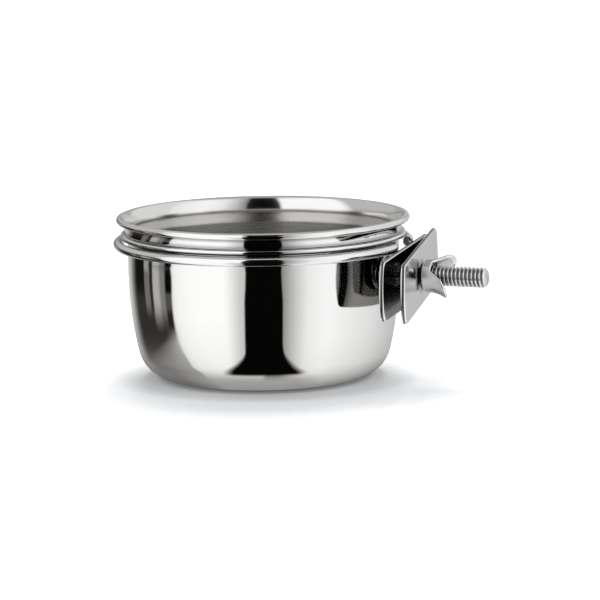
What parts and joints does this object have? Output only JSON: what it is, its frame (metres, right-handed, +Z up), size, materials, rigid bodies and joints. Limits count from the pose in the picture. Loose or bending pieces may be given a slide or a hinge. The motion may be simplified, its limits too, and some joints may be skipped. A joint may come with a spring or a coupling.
{
  "type": "cage cup with clamp holder",
  "caption": "Round steel seed cup with a curled rim and a bead, hung in a wire ring with a cage clamp: plates, threaded bolt and a stamped wing nut.",
  "frame": {"origin": "centre of the flat underside of the cup, where it stands on a table", "axes": "+X out of the ring along the clamp bolt, away from the cup; +Z up, out of the cup's mouth"},
  "size_m": [0.1204, 0.0942, 0.0512],
  "materials": {
    "polished_steel": "polished outside, satin inside",
    "bright_wire": "bright drawn wire",
    "plate_steel": "smooth satin",
    "plated_steel": "zinc plated"
  },
  "bodies": {
    "holder": {"holder_ring": "bright_wire", "inner_plate": "plate_steel", "clamp_bolt": "plated_steel"},
    "cup_body": {"cup": "polished_steel"},
    "loose_plate": {"outer_plate": "plate_steel"},
    "nut": {"wing_nut": "plated_steel"}
  },
  "joints": [
    {"name": "cup_lift", "type": "slide", "parent": "holder", "child": "cup_body", "axis": [0, 0, 1], "range_m": [0, 0.06]},
    {"name": "jaw_slide", "type": "slide", "parent": "holder", "child": "loose_plate", "axis": [1, 0, 0], "range_m": [-0.00064, 0.0127]},
    {"name": "nut_spin", "type": "hinge", "parent": "loose_plate", "child": "nut", "pos_m": [0.05317, 0, 0.03369], "axis": [1, 0, 0], "range_deg": [-180, 3600]}
  ],
  "couplings": [
    {"joint": "nut_spin", "follows": "jaw_slide", "rad_per_m": 4947.4}
  ]
}
